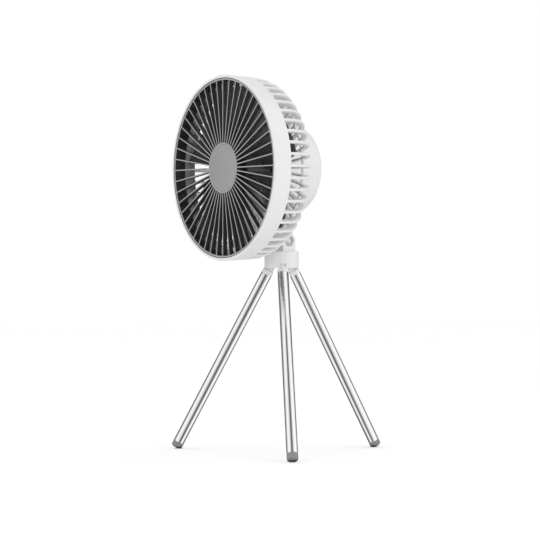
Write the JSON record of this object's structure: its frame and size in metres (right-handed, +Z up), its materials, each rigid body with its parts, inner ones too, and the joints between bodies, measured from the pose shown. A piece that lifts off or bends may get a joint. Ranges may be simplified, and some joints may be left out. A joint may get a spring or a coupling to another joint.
{
  "type": "portable camping fan",
  "caption": "Round battery fan head with a barred front grille and finned back, tilting on a folding tripod with polished tube legs.",
  "frame": {"origin": "on the table, under the middle of the whole fan's bounding box", "axes": "+Z up; the fan blows towards -Y; +X is to the right seen from the front"},
  "size_m": [0.2166, 0.196, 0.3785],
  "materials": {
    "housing_white": "satin moulded ABS, white",
    "grille_grey": "satin moulded ABS, mid grey",
    "charcoal": "fine matt moulded ABS, charcoal",
    "polished_tube": "polished bright plated tube",
    "foot_rubber": "matt grey rubber",
    "bright_steel": "zinc plated steel",
    "white_steel": "white coated steel",
    "washer_nylon": "natural nylon",
    "button_grey": "satin moulded ABS, light grey",
    "motor_steel": "drawn steel",
    "stator_iron": "coated laminated core",
    "magnet_black": "bonded ferrite",
    "base_aluminium": "die-cast aluminium",
    "board_green": "solder mask over fibreglass",
    "cell_wrap": "shrink sleeve",
    "clear_pipe": "clear moulded light pipe"
  },
  "bodies": {
    "tripod": {"tripod_hub": "housing_white", "pin_retainer": "housing_white", "hub_screw": "bright_steel", "leg_pins": "bright_steel", "neck_fork": "housing_white", "tilt_bolt": "white_steel", "tilt_nut": "white_steel", "tilt_washers": "washer_nylon"},
    "head": {"rear_housing": "housing_white", "rear_cover": "housing_white", "duct_ring": "charcoal", "front_grille": "grille_grey", "grille_cap": "grille_grey", "motor_base": "base_aluminium", "motor_bearings": "bright_steel", "motor_screws": "bright_steel", "motor_stator": "stator_iron", "battery_cradle": "charcoal", "battery_cells": "cell_wrap", "circuit_board": "board_green", "indicator_pipes": "clear_pipe", "charging_socket": "bright_steel"},
    "rotor": {"impeller": "charcoal", "impeller_nut": "bright_steel", "motor_bell": "motor_steel", "magnet_ring": "magnet_black", "motor_shaft": "bright_steel"},
    "button": {"speed_button": "button_grey"},
    "leg_right": {"leg_right_knuckle": "housing_white", "leg_right_tube": "polished_tube", "leg_right_foot": "foot_rubber"},
    "leg_left": {"leg_left_knuckle": "housing_white", "leg_left_tube": "polished_tube", "leg_left_foot": "foot_rubber"},
    "leg_rear": {"leg_rear_knuckle": "housing_white", "leg_rear_tube": "polished_tube", "leg_rear_foot": "foot_rubber"}
  },
  "joints": [
    {"name": "leg_right_fold", "type": "hinge", "parent": "tripod", "child": "leg_right", "pos_m": [0.00866, -0.03105, 0.19207], "axis": [0.5, 0.866, 0], "range_deg": [0, 30]},
    {"name": "leg_left_fold", "type": "hinge", "parent": "tripod", "child": "leg_left", "pos_m": [-0.00866, -0.03105, 0.19207], "axis": [0.5, -0.866, 0], "range_deg": [0, 30]},
    {"name": "leg_rear_fold", "type": "hinge", "parent": "tripod", "child": "leg_rear", "pos_m": [0, -0.01605, 0.19207], "axis": [-1, 0, 0], "range_deg": [0, 30]},
    {"name": "head_tilt", "type": "hinge", "parent": "tripod", "child": "head", "pos_m": [0, -0.02465, 0.21407], "axis": [1, 0, 0], "range_deg": [-90, 10]},
    {"name": "impeller_spin", "type": "hinge", "parent": "head", "child": "rotor", "pos_m": [0, -0.08505, 0.28607], "axis": [0, 1, 0], "continuous": true},
    {"name": "speed_press", "type": "slide", "parent": "head", "child": "button", "axis": [0, -1, 0], "range_m": [0, 0.0008], "stiffness_N_per_m": 1500, "springref_m": -0.0003}
  ]
}
